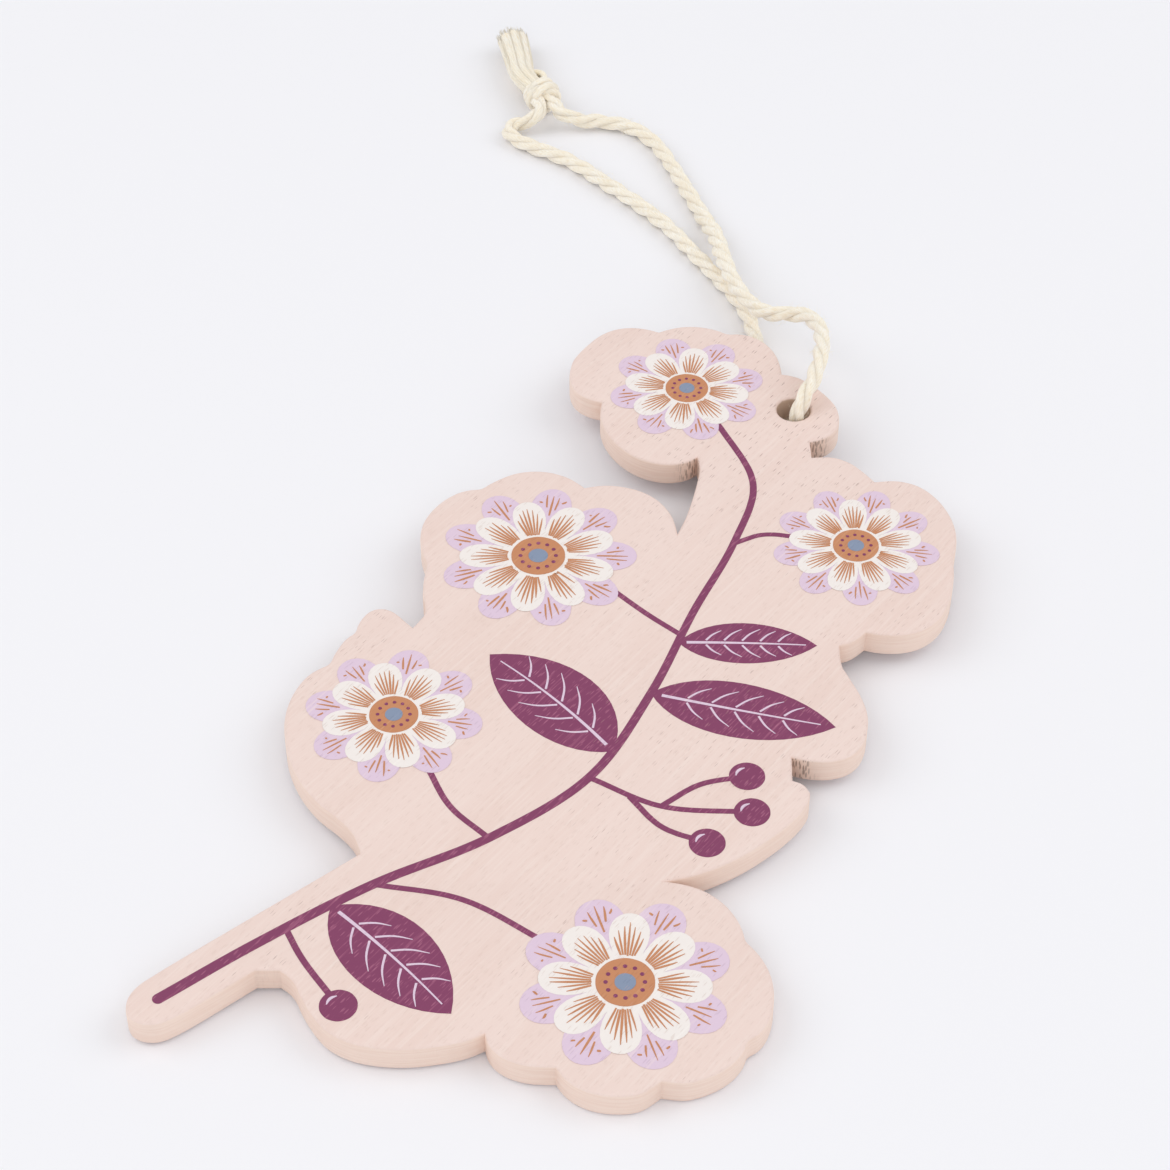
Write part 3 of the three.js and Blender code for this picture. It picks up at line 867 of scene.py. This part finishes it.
# %% [markdown]
# ## Board
#
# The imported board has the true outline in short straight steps. Its widest
# ring of points is read back, level in the drawing, and becomes one closed
# flat curve: smooth through the lobes, and sharp where two lobes meet. A flat
# curve with an extrusion and a bevel is already a board with eased edges, and
# the drilled hole is just a second ring.

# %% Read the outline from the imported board
SAME_HEIGHT = 0.05
CORNER_TURN = 35.0


def rings_at(node, height):
    """Closed rings of points of a node at one height in the drawing, longest first."""
    points = {}
    for i, p in enumerate(TO_BOARD.inverted() @ v.co for v in node.data.vertices):
        if abs(p.z - height) < SAME_HEIGHT:
            points[i] = (round(p.x, 3), round(p.y, 3))
    steps = {}
    for edge in node.data.edges:
        a, b = (points.get(i) for i in edge.vertices)
        if a and b and a != b:
            steps.setdefault(a, set()).add(b)
            steps.setdefault(b, set()).add(a)
    rings = []
    while steps:
        start = next(iter(steps))
        ring = [start]
        here = start
        while True:
            onward = [p for p in steps.get(here, ()) if p not in ring[-2:] and p in steps]
            del steps[here]
            if not onward or onward[0] == start:
                break
            here = onward[0]
            ring.append(here)
        rings.append(ring)
    return sorted(rings, key=len, reverse=True)


def turn_at(ring, i):
    """How far the ring turns at one of its points, in degrees."""
    a = Vector(ring[i]) - Vector(ring[i - 1])
    b = Vector(ring[(i + 1) % len(ring)]) - Vector(ring[i])
    return math.degrees(a.angle_signed(b))


outline, *others = rings_at(board_node, EDGE_EASE)
corners = [i for i in range(len(outline)) if abs(turn_at(outline, i)) > CORNER_TURN]
print("outline", len(outline), "points,", len(corners), "corners,", [len(ring) for ring in others])

# %% Flat curves that become solid
EASE_STEPS = 3
WELD_DISTANCE = 0.001 * MM
SMOOTH_ANGLE = 40.0


def polar(centre, radius, angle):
    return (centre[0] + radius * math.cos(angle), centre[1] + radius * math.sin(angle))


def add_ring(curve, points, sharp=()):
    """One closed ring in a flat curve: sharp points are corners, the others are smooth."""
    spline = curve.splines.new("BEZIER")
    spline.bezier_points.add(len(points) - 1)
    spline.use_cyclic_u = True
    for i, (point, (x, y)) in enumerate(zip(spline.bezier_points, points)):
        point.co = (x, y, 0)
        kind = "VECTOR" if i in sharp else "AUTO"
        point.handle_left_type = kind
        point.handle_right_type = kind


def flat_curve(name, thickness, detail, ease=0.0):
    curve = bpy.data.curves.new(name, "CURVE")
    curve.dimensions = "2D"
    curve.fill_mode = "BOTH"
    curve.resolution_u = detail
    curve.extrude = thickness / 2 - ease
    curve.bevel_depth = ease
    curve.bevel_resolution = EASE_STEPS
    curve.offset = -ease
    return curve


def lay_on_board(curve, name, bottom, thickness, material):
    """Makes the flat curve a mesh, and lays it in the board's plane at a height in the drawing."""
    piece = add_object(name, curve)
    bpy.ops.object.select_all(action="DESELECT")
    piece.select_set(True)
    bpy.context.view_layer.objects.active = piece
    bpy.ops.object.convert(target="MESH")
    mesh = piece.data
    mesh.name = name
    mesh.transform(TO_BOARD @ Matrix.Translation((0, 0, bottom + thickness / 2)))
    mesh.materials.clear()
    mesh.materials.append(material)
    bpy.ops.object.mode_set(mode="EDIT")
    bpy.ops.mesh.select_all(action="SELECT")
    bpy.ops.mesh.remove_doubles(threshold=WELD_DISTANCE)
    bpy.ops.mesh.normals_make_consistent(inside=False)
    bpy.ops.object.mode_set(mode="OBJECT")
    bpy.ops.object.shade_smooth_by_angle(angle=math.radians(SMOOTH_ANGLE))
    return piece


# %% Board piece
BOARD_DETAIL = 5
HOLE_DIAMETER = 4.8
HOLE_POINTS = 16
HOLE_MARGIN = 0.05
NOTCH_REACH = 2.2
ROUGH_NOTCHES = ((15.9, 25.7), (32.1, 27.4), (26.4, -33.0))
SAME_NOTCH = 3.0
SANDED_SHARE = 0.2

board_curve = flat_curve("board", BOARD_THICKNESS, BOARD_DETAIL, EDGE_EASE)
add_ring(board_curve, outline, corners)
hole_angles = [-math.tau * i / HOLE_POINTS for i in range(HOLE_POINTS)]
add_ring(board_curve, [polar(HOLE_CENTRE, HOLE_DIAMETER / 2, angle) for angle in hole_angles])
board = lay_on_board(board_curve, "board", 0.0, BOARD_THICKNESS, beech)

winding = sum(turn_at(outline, i) for i in range(len(outline)))
notches = [Vector(outline[i]) for i in corners if turn_at(outline, i) * winding < 0]
near_notch = board.data.attributes.new("notch", "FLOAT", "POINT")
in_hole = board.data.attributes.new("drilled", "FLOAT", "POINT")
for vertex, value, drilled in zip(board.data.vertices, near_notch.data, in_hole.data):
    flat = (TO_BOARD.inverted() @ vertex.co).xy
    notch = min(notches, key=lambda place: (flat - place).length)
    rough = any((notch - Vector(place)).length < SAME_NOTCH for place in ROUGH_NOTCHES)
    # Nearness to a notch, full at the rough ones: it sets the walls' painted shade and their end-grain dots.
    value.value = math.exp(-(flat - notch).length / NOTCH_REACH) * (1.0 if rough else SANDED_SHARE)
    from_centre = (flat - Vector(HOLE_CENTRE)).length
    drilled.value = 1.0 if from_centre < HOLE_DIAMETER / 2 + HOLE_MARGIN else 0.0
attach(board, "root")
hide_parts("tag_board")
print("board", len(board.data.polygons), "faces,", len(notches), "notches")

# %% [markdown]
# ## Ink
#
# The print is thin matt ink. Along the grain it takes a little less, so the
# light lines and the flecks of the wood show through, each in a tint of the
# ink's own colour, and the pores show the bare wood. Each ink says its colour,
# the tints of its lines and flecks, and how strongly the grain shows.

# %% Ink materials
BARE_PORE = (206, 164, 158)
PORE_SHARE = 0.55


def make_ink(name, colour, streak, fleck, share):
    material, nodes, shader = new_material(name, 0.6)
    grain = add_grain(nodes)
    worn = nodes.math("MULTIPLY", nodes.smooth(grain["Lines"], 0.56, 0.76), share)
    tone = nodes.mix(worn, srgb(*colour), srgb(*streak))
    tone = nodes.tint(tone, grain["Flecks"], share, fleck)
    tone = nodes.tint(tone, grain["Pores"], PORE_SHARE, BARE_PORE)
    nodes.dress(shader, tone, grain["Height"], strength=0.3, depth=0.05)
    return material


plum = make_ink("plum_ink", (130, 56, 96), (186, 112, 142), (186, 112, 142), 0.5)
lilac = make_ink("lilac_ink", (224, 201, 221), (238, 218, 222), (206, 182, 202), 0.6)
white = make_ink("white_ink", (242, 235, 231), (250, 245, 240), (222, 206, 198), 0.55)
ochre = make_ink("ochre_ink", (200, 136, 96), (214, 160, 122), (184, 124, 86), 0.55)
blue = make_ink("blue_ink", (134, 148, 173), (156, 164, 184), (120, 132, 158), 0.5)
print("inks", [ink.name for ink in (plum, lilac, white, ochre, blue)])

# %% [markdown]
# ## The spray's drawing
#
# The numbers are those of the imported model's own drawing, in millimetres. Each
# daisy has a ring of lilac petals, a ring of white petals over it, an ochre
# centre and a blue eye. The petals and the centre are shares of the daisy's
# radius, and the eye is a share of the centre's. Curves are drawn flat and each
# coat lies a little above the last. A Bezier stretch reaches three quarters of
# the way out to its handles.

# %% Drawing of the spray
INK_THICKNESS = 0.012
INK_GAP = 0.012
CURVE_DETAIL = 16
DISC_POINTS = 10
HANDLE_REACH = 0.75
LEAF_HANDLES = (0.2, 0.72)
STEM_WIDTH = 1.5
STEM_TIP_WIDTH = 0.9
TWIG_WIDTH = 0.8
BERRY_RADIUS = 2.3
CENTRE_SHARE = 0.27
EYE_SHARE = 0.36
LILAC_NOTCH = 0.45
WHITE_REACH = 0.8
WHITE_NOTCH = 0.36

DAISIES = (
    ("head", (14.8, 40.4), 11.4, 8, 12),
    ("right_shoulder", (37.2, 7.6), 11.6, 9, 30),
    ("left_shoulder", (-6.4, 5.6), 13.6, 9, 0),
    ("left_side", (-24.8, -23.8), 11.8, 8, 35),
    ("foot", (4.8, -67.0), 13.2, 8, 18),
)
STEM = [
    (-50.6, -69.4), (-40, -61.4), (-26, -52), (-12, -44.6), (0.5, -34.6), (8.6, -20), (14.6, -5),
    (20.4, 8), (23.6, 20), (20, 30.5), (17.6, 35.4),
]
TWIGS = [
    [(20.4, 8), (24.6, 9.8), (30, 9.2)],
    [(13, -9.6), (8.4, -5.6), (3.4, -0.6)],
    [(-12, -44.6), (-17, -39.4), (-20.2, -32.6)],
    [(-26, -52), (-15, -54.4), (-4.4, -61.2)],
]
BERRY_TWIGS = [
    [(-36.4, -58.6), (-34, -63.4), (-29.2, -70.4)],
    [(0.5, -34.6), (9.6, -39.4), (21, -40.4)],
    [(5.6, -37.8), (9.6, -42.8), (15.2, -45.4)],
    [(9.6, -39.4), (14.6, -35.8), (20.6, -34.4)],
]
LEAVES = [
    ((8.6, -20), (32.4, -26), 4.8, -0.2),
    ((12.4, -10.8), (30.8, -11.4), 3.7, 0.2),
    ((3.6, -30.2), (-12.6, -13), 5.8, -1.0),
    ((-31, -55.4), (-15.8, -71.6), 5.4, 0.6),
]


def add_bezier(curve, stretches):
    """One closed ring of Bezier stretches, each given as start, two handles and end."""
    spline = curve.splines.new("BEZIER")
    spline.bezier_points.add(len(stretches) - 1)
    spline.use_cyclic_u = True
    for i, (start, first, _, _) in enumerate(stretches):
        point = spline.bezier_points[i]
        point.handle_left_type = "FREE"
        point.handle_right_type = "FREE"
        point.co = (*start, 0)
        point.handle_right = (*first, 0)
        point.handle_left = (*stretches[i - 1][2], 0)


def add_rosette(curve, centre, radius, notch_radius, petals, turn):
    half = math.pi / petals
    reach = (radius - notch_radius / 4) / HANDLE_REACH / math.cos(half)
    stretches = []
    for i in range(petals):
        axis = math.radians(turn) + 2 * half * i
        stretches.append(
            (polar(centre, notch_radius, axis - half), polar(centre, reach, axis - half),
             polar(centre, reach, axis + half), polar(centre, notch_radius, axis + half))
        )
    add_bezier(curve, stretches)


def add_disc(curve, centre, radius):
    add_ring(curve, [polar(centre, radius, math.tau * i / DISC_POINTS) for i in range(DISC_POINTS)])


def add_leaf(curve, base, tip, bulge, lean):
    along = Vector(tip) - Vector(base)
    across = along.orthogonal().normalized()
    reach = bulge / HANDLE_REACH
    near, far = LEAF_HANDLES

    def side(share, offset):
        return tuple(Vector(base) + along * share + across * offset)

    add_bezier(
        curve,
        [(base, side(near, lean - reach), side(far, lean - reach), tip),
         (tip, side(far, lean + reach), side(near, lean + reach), base)],
    )


def add_stroke(curve, points, widths):
    """A line of ink along the points, with its width at each of them."""
    spots = [Vector(p) for p in points]
    left, right = [], []
    for i, (spot, width) in enumerate(zip(spots, widths)):
        along = (spots[min(i + 1, len(spots) - 1)] - spots[max(i - 1, 0)]).normalized()
        across = along.orthogonal() * width / 2
        left.append(tuple(spot + across))
        right.append(tuple(spot - across))
    ring = right + left[::-1]
    add_ring(curve, ring, (0, len(points) - 1, len(points), len(ring) - 1))


def flat_route(points, spacing):
    return [(p.x, p.y) for p in smooth_route([Vector((*p, 0)) for p in points], spacing)]


# %% Lay one coat of ink
def ink_film(name, lift, material, draw, detail=CURVE_DETAIL):
    """Draws a flat curve and makes it one film of ink, lifted off the board by a hair."""
    curve = flat_curve(name, INK_THICKNESS, detail)
    draw(curve)
    return lay_on_board(curve, name, BOARD_THICKNESS + lift, INK_THICKNESS, material)


def ink_piece(name, coat, material, draw, detail=CURVE_DETAIL, replaced=()):
    """One film of ink on its coat, attached to the root, and hiding the imported nodes that it replaces."""
    piece = ink_film(name, INK_GAP + coat * (INK_THICKNESS + INK_GAP), material, draw, detail)
    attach(piece, "root")
    if replaced:
        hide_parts(*replaced)
    return piece


# %% [markdown]
# The plum sprig is several shapes that cross each other. A flat curve would
# leave holes where they cross, so each shape is its own small film at its own
# height, a hair apart, and they are joined as one object.

# %% Plum sprig
SPRIG_STEP = 0.12
STEM_SPACING = 3
TWIG_SPACING = 2


def draw_stem(curve):
    route = flat_route(STEM, STEM_SPACING)
    widths = [STEM_WIDTH + (STEM_TIP_WIDTH - STEM_WIDTH) * share for share in even_shares(len(route))]
    add_stroke(curve, route, widths)


def draw_twig(curve, twig):
    route = flat_route(twig, TWIG_SPACING)
    add_stroke(curve, route, [TWIG_WIDTH] * len(route))


def draw_twigs(curve):
    for twig in TWIGS:
        draw_twig(curve, twig)


def draw_berries(curve):
    for twig in BERRY_TWIGS:
        add_disc(curve, twig[-1], BERRY_RADIUS)


def draw_leaves(curve):
    for leaf in LEAVES:
        add_leaf(curve, *leaf)


draw_stem_end = partial(add_disc, centre=STEM[0], radius=STEM_WIDTH / 2)
sprig_drawings = [draw_leaves, draw_stem, draw_twigs, draw_berries, draw_stem_end]
sprig_drawings += [partial(draw_twig, twig=twig) for twig in BERRY_TWIGS]
sprig_parts = [
    ink_film(f"sprig_{i}", INK_GAP * (1 + SPRIG_STEP * i), plum, draw)
    for i, draw in enumerate(sprig_drawings)
]
bpy.ops.object.select_all(action="DESELECT")
for part in sprig_parts:
    part.select_set(True)
bpy.context.view_layer.objects.active = sprig_parts[0]
bpy.ops.object.join()
sprig = bpy.context.active_object
sprig.name = "plum_sprig"
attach(sprig, "root")
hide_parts("print_plum_sprig")
print("sprig", len(sprig_parts), "films,", len(sprig.data.polygons), "faces")

# %% [markdown]
# Each leaf has fine pale veins and each berry a pale curved light. They are
# printed over the plum as strokes that swell and thin, as cut lines do.

# %% Veins of the leaves, and the light on the berries
MIDRIB_SHARES = [0.06 + 0.86 * i / 8 for i in range(9)]
MIDRIB_WIDTHS = [0.5 - 0.34 * share for share in MIDRIB_SHARES]
VEIN_SHARES = [0.2 + 0.13 * i for i in range(5)]
VEIN_REACHES = [0.72 - 0.09 * abs(i - 1.6) for i in range(5)]
VEIN_GAP = 0.42
VEIN_BEND = (0.5, 0.42)
VEIN_END = (0.86, 0.95)
VEIN_WIDTHS = [0.3, 0.26, 0.1]
LIGHT_OUT = 0.62
LIGHT_ANGLES = (100, 125, 150, 175)
LIGHT_WIDTHS = [0.12, 0.36, 0.36, 0.12]


def leaf_line(leaf, share):
    """A point on the bowed midrib of a leaf."""
    base, tip, _, lean = leaf
    along = Vector(tip) - Vector(base)
    across = along.orthogonal().normalized()
    return Vector(base) + along * share + across * lean * 3 * share * (1 - share)


def draw_veins(curve):
    for leaf in LEAVES:
        base, tip, bulge, _ = leaf
        add_stroke(curve, [tuple(leaf_line(leaf, share)) for share in MIDRIB_SHARES], MIDRIB_WIDTHS)
        along = (Vector(tip) - Vector(base)).normalized()
        across = along.orthogonal()
        for share, reach in zip(VEIN_SHARES, VEIN_REACHES):
            for side in (1, -1):
                spots = [leaf_line(leaf, share) + across * side * VEIN_GAP]
                for out, on in (VEIN_BEND, VEIN_END):
                    spots.append(spots[0] + (across * side * out + along * on) * bulge * reach)
                add_stroke(curve, [tuple(spot) for spot in spots], VEIN_WIDTHS)


def draw_berry_lights(curve):
    for twig in BERRY_TWIGS:
        arc = [polar(twig[-1], BERRY_RADIUS * LIGHT_OUT, math.radians(angle)) for angle in LIGHT_ANGLES]
        add_stroke(curve, arc, LIGHT_WIDTHS)


for name, draw in (("leaf_veins", draw_veins), ("berry_lights", draw_berry_lights)):
    fine = ink_piece(name, 1, lilac, draw, detail=4)
    print(name, len(fine.data.polygons), "faces")

# %% [markdown]
# Each daisy's petals carry fine strokes, all running out from the centre. The
# strokes differ a little in length and bend, as hand-cut lines do. A ring of
# plum dots lies on the centre, round the eye.

# %% Daisies
STROKE_WIDTH = 0.021
STROKE_LATE = 0.05
STROKE_SHORT = 0.08
STROKE_BEND = 0.012
STROKE_FULL = (0.8, 1.15)
STROKE_WIDTHS = (0.8, 1.0, 0.85, 0.3)
STROKE_OPENS = 0.22
DOTS = 12
DOTS_OUT = 0.66
DOT_RADIUS = 0.075

stroke_random = random.Random(7)


def add_petal_strokes(curve, centre, petals, turn, span, near, far, count, width, rise, droop):
    """Strokes fanned over each petal, a span of its angle. The outer ones start later and end sooner."""
    half = math.pi / petals
    for i in range(petals):
        axis = math.radians(turn) + 2 * half * i
        for k in range(count):
            across = (k - (count - 1) / 2) / ((count - 1) / 2)
            start = near * (1 + rise * abs(across)) * (1 + STROKE_LATE * stroke_random.random())
            end = far * (1 - droop * across * across) * (1 - STROKE_SHORT * stroke_random.random())
            bend = stroke_random.uniform(-STROKE_BEND, STROKE_BEND)
            points = []
            for share in even_shares(len(STROKE_WIDTHS)):
                opened = 1 - STROKE_OPENS * (1 - math.sin(share * math.pi / 2))
                spread = across * half * span * opened
                points.append(polar(centre, start + (end - start) * share, axis + spread + bend * share))
            full = width * stroke_random.uniform(*STROKE_FULL)
            add_stroke(curve, points, [full * part for part in STROKE_WIDTHS])


def make_daisy(name, centre, radius, petals, turn):
    between = turn + 180 / petals
    middle = radius * CENTRE_SHARE
    white_radius = radius * WHITE_REACH
    coats = (
        ("lilac_petals", lilac, "lilac_ink",
         lambda curve: add_rosette(curve, centre, radius, radius * LILAC_NOTCH, petals, turn)),
        ("white_petals", white, "white_ink",
         lambda curve: add_rosette(curve, centre, white_radius, radius * WHITE_NOTCH, petals, between)),
        ("ochre_centre", ochre, "ochre_ink", lambda curve: add_disc(curve, centre, middle)),
        ("blue_eye", blue, "blue_ink", lambda curve: add_disc(curve, centre, middle * EYE_SHARE)),
    )
    for coat, (part, material, slot, draw) in enumerate(coats, 1):
        ink_piece(f"{name}_{part}", coat, material, draw, replaced=(f"print_{name}_{part}",))
    strokes = partial(add_petal_strokes, centre=centre, petals=petals, width=radius * STROKE_WIDTH)
    white_strokes = partial(
        strokes, turn=between, span=0.66, near=middle * 1.1, far=radius * 0.7, count=7, rise=0.0, droop=0.2
    )
    lilac_strokes = partial(
        strokes, turn=turn, span=0.46, near=radius * 0.59, far=radius * 0.93, count=5, rise=0.32, droop=0.08
    )
    ink_piece(f"{name}_white_petal_strokes", 3, ochre, white_strokes, detail=3)
    ink_piece(f"{name}_lilac_petal_strokes", 2, ochre, lilac_strokes, detail=3)
    dots = [polar(centre, middle * DOTS_OUT, math.tau * i / DOTS) for i in range(DOTS)]
    ink_piece(
        f"{name}_plum_dots", 4, plum,
        lambda curve: [add_disc(curve, dot, middle * DOT_RADIUS) for dot in dots],
        detail=2,
    )


for daisy in DAISIES:
    make_daisy(*daisy)
print(len(DAISIES), "daisies")

# %% [markdown]
# ## Stage and light
#
# A plain white table, and three large soft boxes: one on each side, so that
# every edge has a faint shadow both ways, and one in front, which keeps the
# near walls of the board almost as bright as its face. The white surroundings
# fill the shadows.

# %% Floor and lights
FLOOR_SIZE = 3.0
SOFTBOX_WIDTH = 0.9
SURROUNDINGS = 0.68


def make_floor():
    bpy.ops.object.select_all(action="DESELECT")
    bpy.ops.mesh.primitive_plane_add(size=FLOOR_SIZE, location=(0, 0, 0))
    floor = bpy.context.active_object
    floor.name = "floor"
    material, _, shader = new_material("floor_white", 0.9)
    shader.inputs["Base Color"].default_value = srgb(243, 243, 247)
    floor.data.materials.append(material)


def add_softbox(name, place, watts):
    data = bpy.data.lights.new(name, "AREA")
    data.shape = "SQUARE"
    data.size = SOFTBOX_WIDTH
    data.energy = watts
    light = add_object(name, data)
    light.location = place
    light.rotation_euler = (-Vector(place)).to_track_quat("-Z", "Y").to_euler()


make_floor()
add_softbox("softbox_left", (-0.85, 0.1, 0.8), 3.2)
add_softbox("softbox_right", (0.9, 0.15, 0.8), 3.2)
add_softbox("softbox_front", (0.0, -1.1, 0.7), 2.6)

world = bpy.data.worlds.new("studio")
world.use_nodes = True
background = world.node_tree.nodes["Background"]
background.inputs["Color"].default_value = (1.0, 1.0, 1.0, 1.0)
background.inputs["Strength"].default_value = SURROUNDINGS
bpy.context.scene.world = world
bpy.context.scene.view_settings.view_transform = "Standard"
